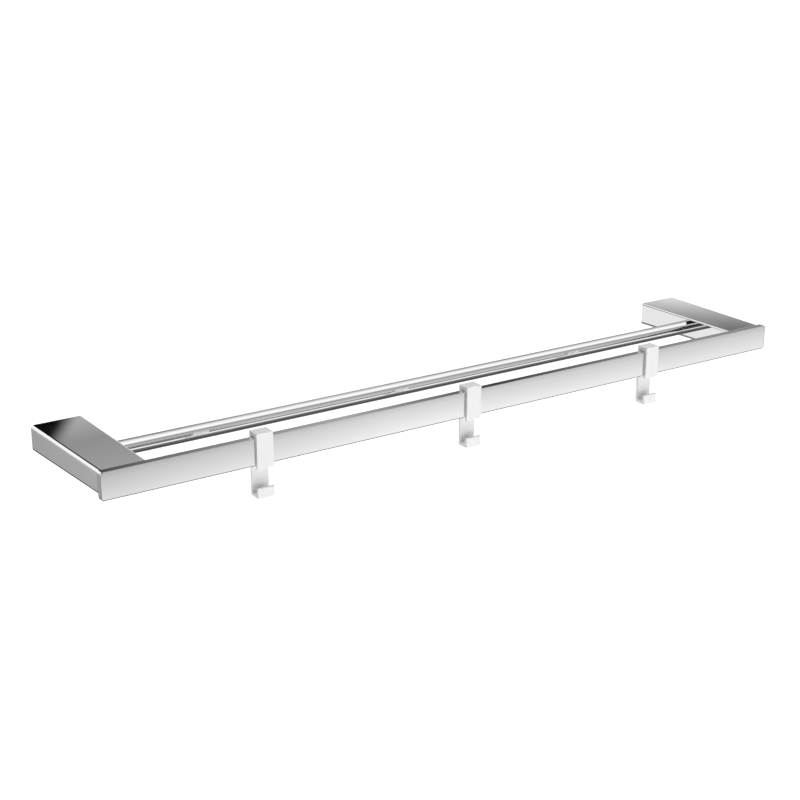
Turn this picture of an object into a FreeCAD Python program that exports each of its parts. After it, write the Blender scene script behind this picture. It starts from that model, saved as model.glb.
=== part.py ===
import FreeCAD, Part
import math
import os

import Sketcher

# Wall-mounted towel rack: two cast brackets carry a round towel rod and a flat front rail,
# and three moulded hooks slide along the rail.
#
# Frame: X runs along the rail, +Y points into the wall, +Z is up. The origin lies on the wall, half
# way along the rail, at the height of the wall screws. Depths are counted from the wall towards the
# room, so a depth d lies at Y = -d. Left is -X, as seen by someone facing the wall.

DIMENSIONS = {
    # front rail
    "rail_length": 600.0,
    "rail_height": 20.0,
    "rail_thickness": 6.0,
    "rail_back": 106.3,
    "rail_top": 10.5,
    "rail_corner": 2.0,
    "rail_edge": 1.0,
    # towel rod
    "rod_diameter": 11.0,
    "rod_wall": 1.0,
    "rod_depth": 55.0,
    "rod_level": 1.2,
    "rod_insert": 10.0,
    # brackets
    "bracket_inner": 264.1,
    "bracket_outer_wall": 301.8,
    "bracket_outer_front": 298.8,
    "bracket_top": 9.6,
    "bracket_bottom_wall": 9.6,
    "bracket_bottom_front": 7.7,
    "outer_top_round": 2.5,
    "inner_top_round": 1.5,
    "bottom_round": 2.6,
    "shell_wall": 2.3,
    "front_wall": 5.2,
    "socket_clearance": 0.05,
    "socket_floor": 0.5,
    "boss_width": 16.0,
    "boss_reach": 12.5,
    "boss_half_height": 8.0,
    "screw_boss_size": 9.0,
    "screw_boss_start": 3.0,
    "screw_boss_top": 4.8,
    # wall plates
    "plate_centre": 283.0,
    "plate_width": 31.0,
    "plate_height": 13.0,
    "plate_thickness": 2.5,
    "plate_corner": 1.5,
    "slot_spacing": 20.0,
    "slot_width": 4.5,
    "slot_length": 6.5,
    "lug_width": 8.0,
    "lug_length": 10.0,
    "lug_top": 7.3,
    "lug_bottom": 2.9,
    # M4 fasteners
    "thread_diameter": 3.9,
    "tapped_diameter": 4.0,
    "clearance_diameter": 4.8,
    "cap_head_diameter": 7.0,
    "cap_head_height": 4.0,
    "cap_screw_length": 10.0,
    "cap_socket": 3.0,
    "cap_socket_depth": 2.0,
    "cap_head_edge": 0.4,
    "thread_point": 0.4,
    "rail_screw_first": 281.5,
    "rail_screw_pitch": 10.5,
    "rail_screw_level": 0.7,
    "rail_hole_depth": 4.8,
    "washer_diameter": 8.0,
    "washer_hole": 4.3,
    "washer_thickness": 0.5,
    "set_socket": 2.0,
    "set_socket_depth": 1.8,
    "rod_set_screw_length": 4.0,
    "plate_set_screw_length": 6.0,
    "plate_set_screw_depth": 7.5,
    # hooks, parked a little to the left of the middle
    "hook_pitch": 176.0,
    "hook_offset": 5.0,
    "hook_width": 13.0,
    "hook_side_gap": 0.1,
    "hook_top_gap": 0.1,
    "hook_cap": 3.5,
    "hook_leg": 2.0,
    "hook_shank": 2.25,
    "hook_leg_overhang": 2.0,
    "hook_bottom": 33.1,
    "hook_floor": 2.6,
    "hook_lip_height": 7.5,
    "hook_nib_gap": 0.25,
    "hook_nib_reach": 0.9,
    "hook_throat_round": 1.2,
    "hook_edge": 0.4,
}

doc = FreeCAD.newDocument("towel_rack")
sheet = doc.addObject("Spreadsheet::Sheet", "Sizes")
for row, (alias, number) in enumerate(DIMENSIONS.items(), start=1):
    sheet.set(f"A{row}", alias)
    sheet.set(f"B{row}", str(number))
    sheet.setAlias(f"B{row}", alias)
doc.recompute()


class Size:
    """A length together with the spreadsheet formula that gives it."""

    def __init__(self, value, formula):
        self.value = value
        self.formula = formula

    def __add__(self, other):
        other = as_size(other)
        return Size(self.value + other.value, f"({self.formula} + {other.formula})")

    def __sub__(self, other):
        other = as_size(other)
        return Size(self.value - other.value, f"({self.formula} - {other.formula})")

    def __mul__(self, factor):
        return Size(self.value * factor, f"({self.formula} * {factor!r})")

    def __truediv__(self, divisor):
        return Size(self.value / divisor, f"({self.formula} / {divisor!r})")

    def __neg__(self):
        return self * -1


def as_size(value):
    return value if isinstance(value, Size) else Size(float(value), repr(float(value)))


def dim(alias):
    return Size(DIMENSIONS[alias], f"Sizes.{alias}")


ZERO = as_size(0)
RAIL_FRONT = dim("rail_back") + dim("rail_thickness")
RAIL_BOTTOM = dim("rail_top") - dim("rail_height")
CAVITY_DEPTH = dim("rail_back") - dim("front_wall")


def bind(target, name, size):
    """Bind a property to the sheet."""
    target.setExpression(name, size.formula)


# ---------------------------------------------------------------- sketches


def new_sketch(body, name, plane, offset=ZERO):
    """A sketch on one of the body's own origin planes, moved along that plane's normal."""
    sketch = body.newObject("Sketcher::SketchObject", f"{body.Name}_{name}")
    origin_plane = next(p for p in body.Origin.OriginFeatures if p.Role == plane)
    sketch.AttachmentSupport = [(origin_plane, "")]
    sketch.MapMode = "FlatFace"
    bind(sketch, "AttachmentOffset.Base.z", offset)
    return sketch


def fix_point(sketch, geometry, position, x, y):
    """Hold one point of a sketch at (x, y) from the sketch's origin."""
    for size, kind, axis in ((x, "DistanceX", -2), (y, "DistanceY", -1)):
        if abs(size.value) < 1e-9:
            sketch.addConstraint(Sketcher.Constraint("PointOnObject", geometry, position, axis))
        else:
            index = sketch.addConstraint(
                Sketcher.Constraint(kind, -1, 1, geometry, position, size.value)
            )
            bind(sketch, f"Constraints[{index}]", size)


def add_polygon(sketch, corners):
    """A closed outline of straight lines through the given (x, y) sizes."""
    points = [FreeCAD.Vector(x.value, y.value, 0) for x, y in corners]
    lines = [
        sketch.addGeometry(Part.LineSegment(start, end), False)
        for start, end in zip(points, points[1:] + points[:1])
    ]
    for line, following in zip(lines, lines[1:] + lines[:1]):
        sketch.addConstraint(Sketcher.Constraint("Coincident", line, 2, following, 1))
    for line, (x, y) in zip(lines, corners):
        fix_point(sketch, line, 1, x, y)


def add_rectangle(sketch, left, right, bottom, top):
    add_polygon(sketch, [(left, bottom), (right, bottom), (right, top), (left, top)])


def add_circle(sketch, x, y, diameter):
    centre = FreeCAD.Vector(x.value, y.value, 0)
    radius = diameter.value / 2
    circle = sketch.addGeometry(Part.Circle(centre, FreeCAD.Vector(0, 0, 1), radius), False)
    fix_point(sketch, circle, 3, x, y)
    index = sketch.addConstraint(Sketcher.Constraint("Diameter", circle, diameter.value))
    bind(sketch, f"Constraints[{index}]", diameter)


def add_slot(sketch, x, length, width):
    """A level slot with round ends, centred at (x, 0)."""
    normal = FreeCAD.Vector(0, 0, 1)
    radius = width / 2
    reach = (length - width) / 2
    ends = []
    for side, start in ((1, -math.pi / 2), (-1, math.pi / 2)):
        centre = x + reach * side
        full = Part.Circle(FreeCAD.Vector(centre.value, 0, 0), normal, radius.value)
        arc = sketch.addGeometry(Part.ArcOfCircle(full, start, start + math.pi), False)
        fix_point(sketch, arc, 3, centre, ZERO)
        ends.append(arc)
    right, left = ends
    for first, second, level in ((right, left, 1), (left, right, -1)):
        line = sketch.addGeometry(
            Part.LineSegment(
                FreeCAD.Vector((x + reach * level).value, radius.value * level, 0),
                FreeCAD.Vector((x - reach * level).value, radius.value * level, 0),
            ),
            False,
        )
        sketch.addConstraint(Sketcher.Constraint("Tangent", first, 2, line, 1))
        sketch.addConstraint(Sketcher.Constraint("Tangent", line, 2, second, 1))
    index = sketch.addConstraint(Sketcher.Constraint("Radius", right, radius.value))
    bind(sketch, f"Constraints[{index}]", radius)


def add_hexagon(sketch, across_flats):
    corner = across_flats / math.sqrt(3)
    angles = [math.radians(60 * k) for k in range(6)]
    add_polygon(sketch, [(corner * math.cos(a), corner * math.sin(a)) for a in angles])


# ---------------------------------------------------------------- features


def new_body(label):
    body = doc.addObject("PartDesign::Body", label)
    body.Label = label
    return body


def volume_now(body):
    doc.recompute()
    return body.Shape.Volume if body.Tip else 0.0


def pad(body, name, sketch, length, backwards=False):
    before = volume_now(body)
    feature = body.newObject("PartDesign::Pad", f"{body.Name}_{name}")
    feature.Profile = sketch
    feature.Reversed = backwards
    bind(feature, "Length", length)
    if volume_now(body) <= before:
        raise RuntimeError(f"{feature.Name} adds nothing")


def pocket(body, name, sketch, length, backwards=False):
    before = volume_now(body)
    feature = body.newObject("PartDesign::Pocket", f"{body.Name}_{name}")
    feature.Profile = sketch
    feature.Reversed = backwards
    bind(feature, "Length", length)
    if volume_now(body) >= before:
        raise RuntimeError(f"{feature.Name} cuts nothing")


def loft(body, name, kind, first, second):
    feature = body.newObject(f"PartDesign::{kind}Loft", f"{body.Name}_{name}")
    feature.Profile = first
    feature.Sections = [second]
    feature.Ruled = True
    doc.recompute()


def dress(body, name, kind, size, chosen):
    """Fillet or chamfer the edges of the body's latest feature that `chosen` accepts."""
    doc.recompute()
    base = body.Tip
    edges = [f"Edge{i}" for i, edge in enumerate(base.Shape.Edges, start=1) if chosen(edge)]
    if not edges:
        raise RuntimeError(f"{body.Name}: no edges for {name}")
    feature = body.newObject(f"PartDesign::{kind}", f"{body.Name}_{name}")
    feature.Base = (base, edges)
    bind(feature, "Radius" if kind == "Fillet" else "Size", size)
    doc.recompute()


def runs_along(edge, axis):
    """True if an edge is straight and nearly parallel to an axis."""
    chord = edge.Vertexes[-1].Point - edge.Vertexes[0].Point
    if chord.Length < 0.01 or edge.Length - chord.Length > 0.001:
        return False
    return abs(chord.normalize().dot(axis)) > 0.99


def near(a, b):
    return abs(a - b) < 0.01


X_AXIS = FreeCAD.Vector(1, 0, 0)
Y_AXIS = FreeCAD.Vector(0, 1, 0)


# ---------------------------------------------------------------- rail and rod


def rail_screw_places():
    """Distances from the middle of the rail to the two screws at each end."""
    first = dim("rail_screw_first")
    return {"inner": first, "outer": first + dim("rail_screw_pitch")}


def make_front_rail():
    body = new_body("front_rail")
    half = dim("rail_length") / 2
    outline = new_sketch(body, "outline", "XZ_Plane", dim("rail_back"))
    add_rectangle(outline, -half, half, RAIL_BOTTOM, dim("rail_top"))
    pad(body, "bar", outline, dim("rail_thickness"))
    dress(body, "corners", "Fillet", dim("rail_corner"), lambda e: runs_along(e, Y_AXIS))
    dress(body, "edges", "Fillet", dim("rail_edge"), lambda e: near(e.BoundBox.YLength, 0))
    holes = new_sketch(body, "holes", "XZ_Plane", dim("rail_back"))
    for side in (-1, 1):
        for place in rail_screw_places().values():
            add_circle(holes, place * side, dim("rail_screw_level"), dim("tapped_diameter"))
    pocket(body, "tapped_holes", holes, dim("rail_hole_depth"), backwards=True)


def make_towel_rod():
    body = new_body("towel_rod")
    half = dim("bracket_inner") + dim("rod_insert")
    ring = new_sketch(body, "ring", "YZ_Plane", -half)
    bore = dim("rod_diameter") - dim("rod_wall") * 2
    for diameter in (dim("rod_diameter"), bore):
        add_circle(ring, -dim("rod_depth"), dim("rod_level"), diameter)
    pad(body, "tube", ring, half * 2)


# ---------------------------------------------------------------- brackets


def make_bracket(label, side):
    """A drafted cast arm, open at the wall, with its inner face square to the rail."""
    body = new_body(label)
    make_bracket_shell(body, side)
    make_rod_boss(body, side)
    make_set_screw_boss(body, side)
    holes = new_sketch(body, "rail_holes", "XZ_Plane", CAVITY_DEPTH)
    for place in rail_screw_places().values():
        add_circle(holes, place * side, dim("rail_screw_level"), dim("clearance_diameter"))
    pocket(body, "rail_screw_holes", holes, dim("front_wall"), backwards=True)


def bracket_section(body, name, depth, outer, bottom, inset):
    """The bracket's outline at one depth, drawn `inset` inside its outer walls."""
    section = new_sketch(body, name, "XZ_Plane", depth)
    inner = dim("bracket_inner") + inset
    corners = [(inner, inset - bottom), (outer - inset, inset - bottom)]
    corners += [(outer - inset, dim("bracket_top") - inset), (inner, dim("bracket_top") - inset)]
    return section, corners


def make_bracket_shell(body, side):
    wall_end = (dim("bracket_outer_wall"), dim("bracket_bottom_wall"))
    front_end = (dim("bracket_outer_front"), dim("bracket_bottom_front"))
    arm = [
        bracket_section(body, "wall_end", ZERO, *wall_end, ZERO),
        bracket_section(body, "front_end", dim("rail_back"), *front_end, ZERO),
    ]
    cavity = [
        bracket_section(body, "cavity_mouth", ZERO, *wall_end, dim("shell_wall")),
        bracket_section(body, "cavity_floor", CAVITY_DEPTH, *front_end, dim("shell_wall")),
    ]
    for sketch, corners in arm + cavity:
        add_polygon(sketch, [(x * side, z) for x, z in corners])
    loft(body, "arm", "Additive", arm[0][0], arm[1][0])

    middle = (DIMENSIONS["bracket_inner"] + DIMENSIONS["bracket_outer_wall"]) / 2

    def long_edge(edge, upper, outer):
        centre = edge.CenterOfMass
        is_outer = abs(centre.x) > middle
        return runs_along(edge, Y_AXIS) and (centre.z > 0) == upper and is_outer == outer

    for name, size, upper, outer in (
        ("outer_top_round", dim("outer_top_round"), True, True),
        ("inner_top_round", dim("inner_top_round"), True, False),
        ("outer_bottom_round", dim("bottom_round"), False, True),
        ("inner_bottom_round", dim("bottom_round"), False, False),
    ):
        dress(body, name, "Fillet", size, lambda e, u=upper, o=outer: long_edge(e, u, o))
    loft(body, "cavity", "Subtractive", cavity[0][0], cavity[1][0])


def make_rod_boss(body, side):
    """A solid block inside the arm, with a blind socket for the rod and a set screw under it."""
    half_width = dim("boss_width") / 2
    start = dim("bracket_inner") + dim("shell_wall") / 2
    block = new_sketch(body, "rod_boss", "YZ_Plane", start * side)
    depth = dim("rod_depth")
    height = dim("boss_half_height")
    add_rectangle(block, -depth - half_width, half_width - depth, -height, height)
    reach = dim("boss_reach") - dim("shell_wall") / 2
    pad(body, "rod_block", block, reach, backwards=side < 0)

    socket = new_sketch(body, "rod_socket", "YZ_Plane", dim("bracket_inner") * side)
    bore = dim("rod_diameter") + dim("socket_clearance") * 2
    add_circle(socket, -depth, dim("rod_level"), bore)
    socket_depth = dim("rod_insert") + dim("socket_floor")
    pocket(body, "socket", socket, socket_depth, backwards=side > 0)

    tapped = new_sketch(body, "rod_screw_hole", "XY_Plane", dim("rod_level"))
    add_circle(tapped, rod_screw_place() * side, -depth, dim("tapped_diameter"))
    pocket(body, "rod_tapped_hole", tapped, dim("rod_level") + dim("bracket_bottom_wall"))


def rod_screw_place():
    return dim("bracket_inner") + dim("rod_insert") * 0.6


def make_set_screw_boss(body, side):
    """A thick spot on the arm's floor, near the wall, for the screw that clamps the wall plate."""
    half = dim("screw_boss_size") / 2
    centre = dim("plate_centre") * side
    start = dim("screw_boss_start")
    base = dim("bracket_bottom_wall") - dim("shell_wall") / 2
    block = new_sketch(body, "screw_boss", "XY_Plane", -base)
    add_rectangle(
        block, centre - half, centre + half, -start - dim("screw_boss_size"), -start
    )
    pad(body, "screw_block", block, base - dim("screw_boss_top"))

    tapped = new_sketch(body, "plate_screw_hole", "XY_Plane", -dim("screw_boss_top"))
    add_circle(tapped, centre, -dim("plate_set_screw_depth"), dim("tapped_diameter"))
    pocket(body, "plate_tapped_hole", tapped, dim("screw_boss_top"))


# ---------------------------------------------------------------- wall plates


def make_wall_plate(label, side):
    """A flat plate with two level slots, and a lug that the bracket slides over."""
    body = new_body(label)
    centre = dim("plate_centre") * side
    half_width = dim("plate_width") / 2
    half_height = dim("plate_height") / 2
    outline = new_sketch(body, "outline", "XZ_Plane")
    add_rectangle(outline, centre - half_width, centre + half_width, -half_height, half_height)
    pad(body, "plate", outline, dim("plate_thickness"))
    dress(body, "corners", "Fillet", dim("plate_corner"), lambda e: runs_along(e, Y_AXIS))

    slots = new_sketch(body, "slots", "XZ_Plane")
    for half in (-1, 1):
        place = centre + dim("slot_spacing") / 2 * half
        add_slot(slots, place, dim("slot_length"), dim("slot_width"))
    pocket(body, "screw_slots", slots, dim("plate_thickness"), backwards=True)

    lug = new_sketch(body, "lug", "XZ_Plane", dim("plate_thickness"))
    half_lug = dim("lug_width") / 2
    add_rectangle(lug, centre - half_lug, centre + half_lug, -dim("lug_bottom"), dim("lug_top"))
    pad(body, "clamp_lug", lug, dim("lug_length"))


# ---------------------------------------------------------------- fasteners


def put(body, x, y, z, turn=None):
    """Place a body, with its position bound to the sheet."""
    if turn:
        body.Placement.Rotation = turn
    for axis, size in (("x", x), ("y", y), ("z", z)):
        bind(body, f"Placement.Base.{axis}", size)


def is_rim(edge, level, radius):
    return (
        isinstance(edge.Curve, Part.Circle)
        and near(edge.Curve.Radius, radius)
        and near(edge.CenterOfMass.z, level)
    )


def make_cap_screw(label):
    """Socket head cap screw: the seat under its head is at local Z = 0, its point at -Z."""
    body = new_body(label)
    shank = new_sketch(body, "shank", "XY_Plane", -dim("cap_screw_length"))
    add_circle(shank, ZERO, ZERO, dim("thread_diameter"))
    pad(body, "shank_rod", shank, dim("cap_screw_length"))
    tip = -DIMENSIONS["cap_screw_length"]
    radius = DIMENSIONS["thread_diameter"] / 2
    dress(body, "point", "Chamfer", dim("thread_point"), lambda e: is_rim(e, tip, radius))

    head = new_sketch(body, "head", "XY_Plane")
    add_circle(head, ZERO, ZERO, dim("cap_head_diameter"))
    pad(body, "cap_head", head, dim("cap_head_height"))
    top = DIMENSIONS["cap_head_height"]
    head_radius = DIMENSIONS["cap_head_diameter"] / 2
    dress(body, "crown", "Chamfer", dim("cap_head_edge"), lambda e: is_rim(e, top, head_radius))

    socket = new_sketch(body, "socket", "XY_Plane", dim("cap_head_height"))
    add_hexagon(socket, dim("cap_socket"))
    pocket(body, "hex_socket", socket, dim("cap_socket_depth"))
    return body


def make_set_screw(label, length):
    """Socket set screw standing on local Z = 0, with its socket at the bottom and its point up."""
    body = new_body(label)
    stem = new_sketch(body, "stem", "XY_Plane")
    add_circle(stem, ZERO, ZERO, dim("thread_diameter"))
    pad(body, "stem_rod", stem, length)
    radius = DIMENSIONS["thread_diameter"] / 2
    dress(
        body, "point", "Chamfer", dim("thread_point"), lambda e: is_rim(e, length.value, radius)
    )
    socket = new_sketch(body, "socket", "XY_Plane")
    add_hexagon(socket, dim("set_socket"))
    pocket(body, "hex_socket", socket, dim("set_socket_depth"), backwards=True)
    return body


def make_washer(label):
    body = new_body(label)
    ring = new_sketch(body, "ring", "XY_Plane")
    for diameter in (dim("washer_diameter"), dim("washer_hole")):
        add_circle(ring, ZERO, ZERO, diameter)
    pad(body, "disc", ring, dim("washer_thickness"))
    return body


def make_fasteners(hand, side):
    """The screws and washers of one bracket; heads inside the arm face the wall."""
    head_to_wall = FreeCAD.Rotation(X_AXIS, -90)
    for place, distance in rail_screw_places().items():
        washer = make_washer(f"{hand}_rail_washer_{place}")
        put(washer, distance * side, -CAVITY_DEPTH, dim("rail_screw_level"), head_to_wall)
        screw = make_cap_screw(f"{hand}_rail_screw_{place}")
        seat = dim("washer_thickness") - CAVITY_DEPTH
        put(screw, distance * side, seat, dim("rail_screw_level"), head_to_wall)

    rod_screw = make_set_screw(f"{hand}_rod_set_screw", dim("rod_set_screw_length"))
    rod_underside = dim("rod_level") - dim("rod_diameter") / 2
    foot = rod_underside - dim("rod_set_screw_length")
    put(rod_screw, rod_screw_place() * side, -dim("rod_depth"), foot)

    plate_screw = make_set_screw(f"{hand}_plate_set_screw", dim("plate_set_screw_length"))
    foot = -dim("lug_bottom") - dim("plate_set_screw_length")
    put(plate_screw, dim("plate_centre") * side, -dim("plate_set_screw_depth"), foot)


# ---------------------------------------------------------------- hooks


def make_hook(label, place):
    """A saddle over the rail, whose back leg runs on down and turns forward into a short lip."""
    body = new_body(label)
    leg_inner = -RAIL_FRONT - dim("hook_side_gap")
    front = leg_inner - dim("hook_leg")
    shank_front = dim("hook_side_gap") - dim("rail_back")
    back = shank_front + dim("hook_shank")
    roof = dim("rail_top") + dim("hook_top_gap")
    top = roof + dim("hook_cap")
    leg_end = RAIL_BOTTOM - dim("hook_leg_overhang")
    nib = RAIL_BOTTOM - dim("hook_nib_gap")
    bottom = -dim("hook_bottom")
    lip_top = bottom + dim("hook_lip_height")
    floor = bottom + dim("hook_floor")

    half = dim("hook_width") / 2
    profile = new_sketch(body, "profile", "YZ_Plane", -half)
    add_polygon(
        profile,
        [
            (front, leg_end),
            (front, top),
            (back, top),
            (back, bottom),
            (front, bottom),
            (front, lip_top),
            (leg_inner, lip_top),
            (leg_inner, floor),
            (shank_front, floor),
            (shank_front, roof),
            (leg_inner, roof),
            (leg_inner, nib),
            (leg_inner + dim("hook_nib_reach"), nib),
            (leg_inner, leg_end),
        ],
    )
    pad(body, "strip", profile, half * 2)

    def throat_corner(edge):
        return runs_along(edge, X_AXIS) and near(edge.CenterOfMass.z, floor.value)

    dress(body, "throat", "Fillet", dim("hook_throat_round"), throat_corner)

    def outer_edge(edge):
        centre = edge.CenterOfMass
        at_side = near(edge.BoundBox.XLength, 0)
        on_front = near(centre.y, front.value)
        on_back = near(centre.y, back.value)
        on_top = near(centre.z, top.value)
        on_bottom = near(centre.z, bottom.value)
        return (at_side and (on_front or on_back or on_top or on_bottom)) or (
            runs_along(edge, X_AXIS) and (on_front or on_back)
        )

    dress(body, "edges", "Fillet", dim("hook_edge"), outer_edge)
    put(body, place, ZERO, ZERO)


# ---------------------------------------------------------------- the whole rack


make_front_rail()
make_towel_rod()
for hand, side in (("left", -1), ("right", 1)):
    make_bracket(f"{hand}_bracket", side)
    make_wall_plate(f"{hand}_wall_plate", side)
    make_fasteners(hand, side)
make_hook("hook_left", -dim("hook_offset") - dim("hook_pitch"))
make_hook("hook_middle", -dim("hook_offset"))
make_hook("hook_right", dim("hook_pitch") - dim("hook_offset"))

doc.recompute()
for item in doc.Objects:
    if "Invalid" in item.State or "Error" in item.State:
        raise RuntimeError(f"{item.Name} failed: {item.State}")

bodies = [item for item in doc.Objects if item.TypeId == "PartDesign::Body"]
for body in bodies:
    shape = body.Shape
    if shape.isNull() or not shape.isValid() or len(shape.Solids) != 1:
        raise RuntimeError(f"{body.Label} is not one valid solid")

os.makedirs("parts", exist_ok=True)
for body in bodies:
    body.Shape.exportStep(f"parts/{body.Label}.step")
    print(body.Label, round(body.Shape.Volume, 1), "mm3")
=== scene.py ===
import math

import bpy
from mathutils import Euler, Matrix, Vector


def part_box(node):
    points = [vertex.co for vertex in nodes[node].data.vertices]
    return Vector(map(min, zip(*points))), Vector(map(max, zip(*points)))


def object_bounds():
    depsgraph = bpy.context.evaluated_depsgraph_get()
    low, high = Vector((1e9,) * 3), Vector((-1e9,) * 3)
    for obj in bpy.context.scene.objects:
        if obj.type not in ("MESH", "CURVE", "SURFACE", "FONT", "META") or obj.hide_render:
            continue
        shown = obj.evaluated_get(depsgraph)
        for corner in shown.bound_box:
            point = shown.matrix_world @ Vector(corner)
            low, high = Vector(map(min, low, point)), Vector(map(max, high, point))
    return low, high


# The wall-mounted towel rack: polished chrome brackets, rail and rod, plated steel fittings and
# white moulded hooks, in a bright studio. Metres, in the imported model's frame: +X along the rail,
# +Y into the wall, +Z up.

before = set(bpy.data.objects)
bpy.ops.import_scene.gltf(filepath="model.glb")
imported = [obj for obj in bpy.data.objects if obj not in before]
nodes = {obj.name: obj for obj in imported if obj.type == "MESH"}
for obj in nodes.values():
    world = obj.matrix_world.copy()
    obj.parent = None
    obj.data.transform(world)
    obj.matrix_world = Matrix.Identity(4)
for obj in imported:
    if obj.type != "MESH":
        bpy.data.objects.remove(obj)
cad_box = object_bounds()

# the camera, at the photograph's angle, in metres, degrees and millimetres
CAMERA_PLACE = (-0.6685, -0.9962, 0.3810)
CAMERA_PITCH, CAMERA_HEADING = 71.10, -34.12
LENS, SENSOR_WIDTH = 71.33, 36.0

# lamps: place, size in metres, power in watts
FRONT_LAMP = ((1.0, -2.7, -0.12), (2.2, 0.9), 17.5)
TOP_LAMP = ((0.2, -0.3, 2.8), (2.4, 1.8), 24.0)

# the floor lies well below the rack, and a box of white walls cuts through it near its rim
FLOOR_LEVEL, FLOOR_HALF = -0.62, 30.0
BACKDROP_HALF = 29.0

# the share of light that the chrome gives back, and how far the rail's faces lean in its shading
CHROME_SHINE = 0.90
RAIL_CROWN, RAIL_TOP_LEAN = 0.03, -0.013


# ---------------------------------------------------------------- node helpers


class Graph:
    """Short names for the shader nodes that the materials and the studio are made of."""

    def __init__(self, tree):
        self.tree = tree

    def node(self, kind, **settings):
        made = self.tree.nodes.new(kind)
        for name, value in settings.items():
            setattr(made, name, value)
        return made

    def feed(self, socket, value):
        if isinstance(value, bpy.types.NodeSocket):
            self.tree.links.new(value, socket)
        else:
            socket.default_value = value

    def math(self, operation, *inputs):
        made = self.node("ShaderNodeMath", operation=operation)
        for socket, value in zip(made.inputs, inputs):
            self.feed(socket, value)
        return made.outputs[0]

    def add(self, a, b):
        return self.math("ADD", a, b)

    def sub(self, a, b):
        return self.math("SUBTRACT", a, b)

    def mul(self, a, b):
        return self.math("MULTIPLY", a, b)

    def vector(self, operation, *inputs):
        made = self.node("ShaderNodeVectorMath", operation=operation)
        for socket, value in zip(made.inputs, inputs):
            self.feed(socket, value)
        return made.outputs[0]

    def remap(self, value, from_min, from_max, to_min=0.0, to_max=1.0, smooth=False):
        made = self.node("ShaderNodeMapRange")
        if smooth:
            made.interpolation_type = "SMOOTHSTEP"
        self.feed(made.inputs["Value"], value)
        made.inputs["From Min"].default_value = from_min
        made.inputs["From Max"].default_value = from_max
        made.inputs["To Min"].default_value = to_min
        made.inputs["To Max"].default_value = to_max
        return made.outputs["Result"]

    def rise(self, value, start, full):
        """0 on the start's side, then smoothly up to 1 at full, which may be the lower one."""
        return self.remap(value, start, full, smooth=True)

    def window(self, value, start, full, still_full, end):
        """Smoothly up from 0 at start to 1 at full, and down from 1 to 0 by end."""
        return self.mul(self.rise(value, start, full), self.rise(value, end, still_full))

    def mix(self, factor, a, b):
        made = self.node("ShaderNodeMix", data_type="FLOAT")
        self.feed(made.inputs["Factor"], factor)
        self.feed(made.inputs["A"], a)
        self.feed(made.inputs["B"], b)
        return made.outputs["Result"]

    def mix_vector(self, factor, a, b):
        made = self.node("ShaderNodeMix", data_type="VECTOR")
        self.feed(made.inputs["Factor"], factor)
        self.feed(made.inputs[4], a)
        self.feed(made.inputs[5], b)
        return made.outputs[1]

    def split(self, vector):
        made = self.node("ShaderNodeSeparateXYZ")
        self.feed(made.inputs[0], vector)
        return made.outputs["X"], made.outputs["Y"], made.outputs["Z"]

    def join(self, x, y, z):
        made = self.node("ShaderNodeCombineXYZ")
        for socket, value in zip(made.inputs, (x, y, z)):
            self.feed(socket, value)
        return made.outputs[0]

    def curve(self, value, stops):
        """The light at value, with straight runs between {position: grey tone of 0-255}."""
        first, last = min(stops), max(stops)
        scaled = self.remap(value, first, last)
        ramp = self.node("ShaderNodeValToRGB")
        self.feed(ramp.inputs[0], scaled)
        elements = ramp.color_ramp.elements
        places = sorted(stops)
        while len(elements) < len(places):
            elements.new(0.5)
        for element, place in zip(elements, places):
            element.position = (place - first) / (last - first)
            light = linear(stops[place])
            element.color = (light, light, light, 1)
        return self.mul(ramp.outputs["Color"], 1.0)

    def noise(self, coordinates, scale, detail, roughness=0.5, stretch=None):
        if stretch is not None:
            coordinates = self.vector("MULTIPLY", coordinates, stretch)
        made = self.node("ShaderNodeTexNoise")
        self.feed(made.inputs["Vector"], coordinates)
        made.inputs["Scale"].default_value = scale
        made.inputs["Detail"].default_value = detail
        made.inputs["Roughness"].default_value = roughness
        return made.outputs[0]

    def bump(self, height, depth, normal=None):
        """Relief of the given depth in metres."""
        made = self.node("ShaderNodeBump")
        made.inputs["Strength"].default_value = 1.0
        made.inputs["Distance"].default_value = depth
        self.feed(made.inputs["Height"], height)
        if normal is not None:
            self.feed(made.inputs["Normal"], normal)
        return made.outputs[0]


def linear(tone):
    """Light for a grey tone of 0-255 on a display."""
    share = tone / 255
    return share / 12.92 if share <= 0.04045 else ((share + 0.055) / 1.055) ** 2.4


# ---------------------------------------------------------------- studio

# What the polished metal reflects. A direction is given by its turn about the rail in degrees,
# 0 to the front, 90 up, 180 to the back and -90 down, and by its share along the rail, from -1
# at the left to 1 at the right. Every panel has soft edges.


def right_round(g, turn, along):
    """Panels right round the rail: white low in front, above and level behind, darker between."""
    around = g.curve(
        turn,
        {
            -180: 250,
            -175: 240,
            -171: 90,
            -160: 150,
            -90: 60,
            -48: 120,
            -41: 165,
            -37: 245,
            -30: 255,
            -20: 210,
            -18: 140,
            -14: 85,
            0: 180,
            12: 160,
            25: 185,
            45: 135,
            60: 240,
            75: 255,
            105: 230,
            150: 110,
            163: 100,
            168: 230,
            180: 250,
        },
    )
    spread = g.curve(along, {0.0: 240, 0.36: 230, 0.53: 255, 0.72: 245, 0.8: 170, 0.9: 65})
    low_front = g.window(turn, -30.0, -27.0, -18.0, -12.0)
    right_end = g.rise(along, 0.74, 0.8)
    fading = g.math("MAXIMUM", low_front, right_end)
    return g.mix(fading, around, g.mul(around, spread))


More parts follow.
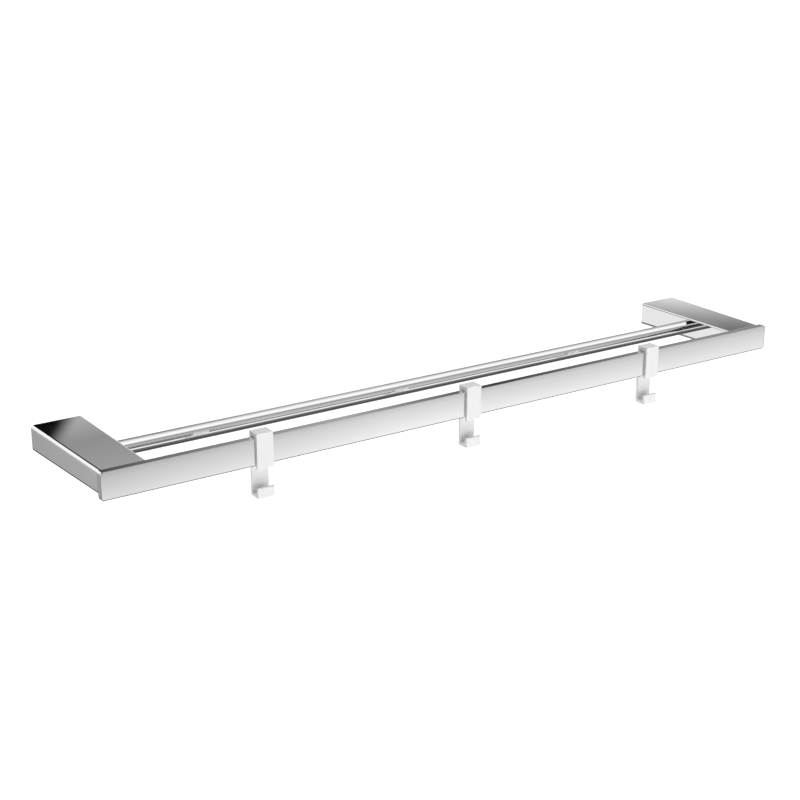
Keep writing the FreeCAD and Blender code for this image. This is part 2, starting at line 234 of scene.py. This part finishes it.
def over_wall(g, turn, along):
    """The narrow band over the wall, which the top faces show: first the rail's, then, further
    round, those of the brackets."""
    over_rail = g.curve(along, {0.31: 10, 0.36: 80, 0.5: 165, 0.58: 60, 0.68: 140, 0.8: 100})
    over_left = g.curve(turn, {156.6: 165, 158.6: 140, 160.2: 190})
    over_right = g.curve(turn, {156.6: 60, 158.5: 160, 160.2: 225})
    is_right = g.rise(along, 0.45, 0.6)
    over_brackets = g.mix(is_right, over_left, over_right)

    # the right one grows lighter from its inner edge outwards
    inner_edge = g.remap(turn, 157.5, 159.5, 0.6946, 0.6625)
    growth = g.remap(g.sub(along, inner_edge), 0.0, 0.011, 0.86, 1.2)
    over_brackets = g.mul(over_brackets, g.mix(is_right, 1.0, growth))

    # the left one has a black corner
    corner_edge = g.remap(turn, 157.5, 159.5, 0.317, 0.347)
    beyond_corner = g.rise(g.sub(along, corner_edge), -0.006, 0.009)
    over_brackets = g.mix(beyond_corner, linear(8), over_brackets)

    return g.mix(g.remap(turn, 156.3, 156.9), over_rail, over_brackets)


def make_studio():
    """The light from every direction, with each panel laid over the ones before it."""
    world = bpy.data.worlds.new("studio")
    bpy.context.scene.world = world
    world.use_nodes = True
    world.node_tree.nodes.clear()
    g = Graph(world.node_tree)
    along, back, up = g.split(g.node("ShaderNodeTexCoord").outputs["Generated"])
    turn = g.math("DEGREES", g.math("ARCTAN2", up, g.mul(back, -1.0)))
    behind = g.rise(g.math("ABSOLUTE", turn), 160.0, 166.0)

    light = right_round(g, turn, along)

    # a grey panel behind, everywhere but at the right
    near_left = g.rise(along, 0.455, 0.40)
    light = g.mix(g.mul(behind, near_left), light, linear(100))

    # a grey flag to the left, which keeps light off the hooks' sides
    flag = g.mul(g.rise(along, -0.12, -0.32), g.window(turn, -16.0, -6.0, 125.0, 140.0))
    light = g.mix(flag, light, linear(70))

    # a dark panel further left, with a pale stripe in it
    striped = g.curve(turn, {28: 20, 37: 190, 52: 200, 61: 20})
    is_striped = g.mul(
        g.window(along, -0.82, -0.75, -0.52, -0.42),
        g.window(turn, -28.0, -20.0, 126.0, 136.0),
    )
    light = g.mix(is_striped, light, striped)

    # low behind, as the brackets' sides show it
    low_behind = g.curve(along, {-0.6: 230, -0.45: 180, -0.3: 130, -0.23: 40, 0.3: 30, 0.45: 115})
    light = g.mix(g.window(turn, -172.0, -166.0, -151.0, -146.0), light, low_behind)

    over = over_wall(g, turn, along)
    light = g.mix(g.window(turn, 140.0, 150.0, 162.0, 166.0), light, over)

    # a white panel behind, to the left
    left_panel = g.curve(along, {-1.0: 205, -0.65: 215, -0.45: 245, 0.1: 250})
    high_or_low = g.math("MAXIMUM", g.rise(turn, 126.0, 136.0), g.rise(turn, -172.0, -177.0))
    light = g.mix(g.mul(g.rise(along, 0.04, -0.06), high_or_low), light, left_panel)

    # a dark gap in that panel
    gap = g.mul(g.window(along, -0.74, -0.70, -0.60, -0.54), behind)
    light = g.mix(gap, light, linear(16))

    # grey room at either end
    light = g.mix(g.rise(along, -0.74, -0.80), light, linear(90))
    light = g.mix(g.rise(along, 0.95, 0.98), light, linear(185))

    shade = g.node("ShaderNodeBackground")
    g.feed(shade.inputs["Color"], light)
    shade.inputs["Strength"].default_value = 1 / CHROME_SHINE
    out = g.node("ShaderNodeOutputWorld")
    g.feed(out.inputs["Surface"], shade.outputs[0])


def make_softbox(name, place, size, power):
    """A large soft lamp, aimed at the rack, that the polished metal doesn't show."""
    data = bpy.data.lights.new(name, "AREA")
    data.shape = "RECTANGLE"
    data.size, data.size_y = size
    data.energy = power
    lamp = bpy.data.objects.new(name, data)
    bpy.context.scene.collection.objects.link(lamp)
    lamp.location = place
    low, high = cad_box
    towards = (low + high) / 2 - lamp.location
    lamp.rotation_euler = towards.to_track_quat("-Z", "Y").to_euler()
    lamp.visible_glossy = False


def make_stage_piece(name, corners, faces):
    """An object of the studio, not of the rack, that the polished metal doesn't show."""
    mesh = bpy.data.meshes.new(name)
    mesh.from_pydata(corners, [], faces)
    piece = bpy.data.objects.new(name, mesh)
    bpy.context.scene.collection.objects.link(piece)
    material, g, surface, place = new_material(name)
    mesh.materials.append(material)
    piece.visible_glossy = False
    surface.inputs["Emission Color"].default_value = (1, 1, 1, 1)
    return piece, g, surface, place


def make_floor():
    """A plain pale floor. It is a lit sheet, as in a product studio, and clear from beneath."""
    half, level = FLOOR_HALF, FLOOR_LEVEL
    corners = [(-half, -half, level), (half, -half, level), (half, half, level), (-half, half, level)]
    g, surface, place = make_stage_piece("studio_floor", corners, [(0, 1, 2, 3)])[1:]
    mottle = g.remap(g.noise(place, 0.6, 2.0), 0.3, 0.7, 0.955, 0.97)
    g.feed(surface.inputs["Base Color"], g.join(mottle, mottle, mottle))
    surface.inputs["Roughness"].default_value = 0.9
    surface.inputs["Emission Strength"].default_value = 0.6
    clear = g.node("ShaderNodeBsdfTransparent")
    one_sided = g.node("ShaderNodeMixShader")
    g.feed(one_sided.inputs[0], g.node("ShaderNodeNewGeometry").outputs["Backfacing"])
    g.feed(one_sided.inputs[1], surface.outputs[0])
    g.feed(one_sided.inputs[2], clear.outputs[0])
    g.feed(g.tree.nodes["Material Output"].inputs["Surface"], one_sided.outputs[0])


def make_backdrop():
    """White walls far around the rack, for the camera only: they lend no light."""
    ends = (-BACKDROP_HALF, BACKDROP_HALF)
    corners = [(x, y, z) for x in ends for y in ends for z in ends]
    faces = [(0, 1, 3, 2), (4, 6, 7, 5), (0, 4, 5, 1), (2, 3, 7, 6), (0, 2, 6, 4), (1, 5, 7, 3)]
    backdrop, _, surface, _ = make_stage_piece("studio_backdrop", corners, faces)
    surface.inputs["Base Color"].default_value = (0, 0, 0, 1)
    surface.inputs["Specular IOR Level"].default_value = 0.0
    surface.inputs["Emission Strength"].default_value = 1.0
    backdrop.visible_diffuse = False
    backdrop.visible_shadow = False


def make_camera():
    data = bpy.data.cameras.new("camera")
    data.sensor_width = SENSOR_WIDTH
    data.lens = LENS
    camera = bpy.data.objects.new("camera", data)
    camera.location = CAMERA_PLACE
    camera.rotation_euler = Euler((math.radians(CAMERA_PITCH), 0, math.radians(CAMERA_HEADING)))
    bpy.context.scene.collection.objects.link(camera)
    bpy.context.scene.camera = camera


# ---------------------------------------------------------------- materials


def new_material(name):
    material = bpy.data.materials.new(name)
    material.use_nodes = True
    g = Graph(material.node_tree)
    surface = material.node_tree.nodes["Principled BSDF"]
    place = g.node("ShaderNodeTexCoord").outputs["Object"]
    return material, g, surface, place


def rolled_bar_normal(g, place, normal):
    """The rail's faces as a rolled and polished bar has them: the rounding between front and top
    turns over quickly, the front is very slightly crowned, and the top leans forward a little."""
    low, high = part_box("front_rail")
    middle, half = (low.z + high.z) / 2, (high.z - low.z) / 2
    height = g.split(place)[2]

    side, back, up = g.split(normal)
    turned = g.rise(up, 0.55, 0.8)
    crisp = g.join(side, g.sub(turned, 1.0), turned)
    on_edge = g.mul(g.math("LESS_THAN", back, -0.02), g.math("GREATER_THAN", up, 0.02))
    normal = g.vector("NORMALIZE", g.mix_vector(on_edge, normal, crisp))

    back, up = g.split(normal)[1:]
    crown = g.remap(height, middle - half, middle + half, -RAIL_CROWN, RAIL_CROWN)
    tilt = g.mul(crown, g.math("LESS_THAN", back, -0.9))
    lean = g.mul(g.math("GREATER_THAN", up, 0.99), RAIL_TOP_LEAN)
    return g.vector("NORMALIZE", g.vector("ADD", normal, g.join(0.0, lean, tilt)))


def make_chrome(name, waviness, rolled=False):
    """Bright chrome plate: a mirror with faint polishing haze, and the waviness in metres of the
    metal below it."""
    material, g, surface, place = new_material(name)
    haze = g.noise(place, 30.0, 4.0, 0.6)
    polish = g.noise(place, 900.0, 2.0, 0.5, stretch=(0.06, 1.0, 1.0))
    tint = g.remap(haze, 0.3, 0.7, 0.895, 0.91)
    g.feed(surface.inputs["Base Color"], g.join(tint, g.mul(tint, 1.002), g.mul(tint, 1.006)))
    surface.inputs["Metallic"].default_value = 1.0
    smear = g.remap(haze, 0.35, 0.7, 0.012, 0.035)
    scratches = g.remap(polish, 0.4, 0.75, 0.0, 0.012)
    g.feed(surface.inputs["Roughness"], g.add(smear, scratches))
    normal = g.node("ShaderNodeNewGeometry").outputs["Normal"]
    if rolled:
        normal = rolled_bar_normal(g, place, normal)
    swell = g.noise(place, 28.0, 1.0, 0.4)
    g.feed(surface.inputs["Normal"], g.bump(swell, waviness, normal))
    return material


def make_steel(name, grey, brushed, roughness):
    """Plated steel with rolling or turning marks and a mottled, duller coat."""
    material, g, surface, place = new_material(name)
    mottle = g.noise(place, 260.0, 4.0, 0.65)
    lines = g.noise(place, 1500.0, 2.0, 0.6, stretch=brushed)
    coat = g.remap(mottle, 0.3, 0.7, grey * 0.9, grey * 1.08)
    tint = g.mul(coat, g.remap(lines, 0.3, 0.7, 0.95, 1.04))
    g.feed(surface.inputs["Base Color"], g.join(tint, g.mul(tint, 1.005), g.mul(tint, 1.015)))
    surface.inputs["Metallic"].default_value = 1.0
    dullness = g.remap(mottle, 0.3, 0.75, roughness, roughness + 0.1)
    marks = g.remap(lines, 0.3, 0.7, 0.0, 0.06)
    g.feed(surface.inputs["Roughness"], g.add(dullness, marks))
    g.feed(surface.inputs["Normal"], g.bump(g.add(lines, g.mul(mottle, 0.6)), 0.000012))
    return material


def make_plastic(name):
    """White moulded plastic with a fine satin grain and faint flow marks."""
    material, g, surface, place = new_material(name)
    flow = g.noise(place, 55.0, 3.0, 0.55, stretch=(1.0, 1.0, 0.35))
    grain = g.noise(place, 5200.0, 2.0, 0.6)
    tint = g.remap(flow, 0.3, 0.7, 0.855, 0.885)
    g.feed(surface.inputs["Base Color"], g.join(tint, tint, g.mul(tint, 0.997)))
    satin = g.remap(flow, 0.3, 0.7, 0.36, 0.44)
    g.feed(surface.inputs["Roughness"], g.add(satin, g.remap(grain, 0.3, 0.7, 0.0, 0.06)))
    surface.inputs["IOR"].default_value = 1.48
    surface.inputs["Subsurface Weight"].default_value = 0.12
    surface.inputs["Subsurface Radius"].default_value = (1.0, 0.95, 0.9)
    surface.inputs["Subsurface Scale"].default_value = 0.0012
    g.feed(surface.inputs["Normal"], g.bump(grain, 0.000004))
    return material


def dress(material, *names):
    for name in names:
        mesh = nodes[name].data
        mesh.materials.clear()
        mesh.materials.append(material)


# ---------------------------------------------------------------- the picture

make_studio()
make_floor()
make_backdrop()
make_camera()
make_softbox("softbox_front", *FRONT_LAMP)
make_softbox("softbox_top", *TOP_LAMP)

rail_chrome = make_chrome("rail_chrome", waviness=0.0000008, rolled=True)
rod_chrome = make_chrome("rod_chrome", waviness=0.0000006)
cast_chrome = make_chrome("cast_chrome", waviness=0.0000012)
plate_steel = make_steel("plate_steel", grey=0.62, brushed=(0.05, 1.0, 1.0), roughness=0.28)
screw_steel = make_steel("screw_steel", grey=0.55, brushed=(1.0, 0.12, 1.0), roughness=0.3)
hook_plastic = make_plastic("hook_plastic")

dress(rail_chrome, "front_rail")
dress(rod_chrome, "towel_rod")
dress(cast_chrome, "left_bracket", "right_bracket")
dress(plate_steel, "left_wall_plate", "right_wall_plate")
dress(screw_steel, *[name for name in nodes if "screw" in name or "washer" in name])
dress(hook_plastic, "hook_left", "hook_middle", "hook_right")

bpy.context.scene.view_settings.view_transform = "Standard"
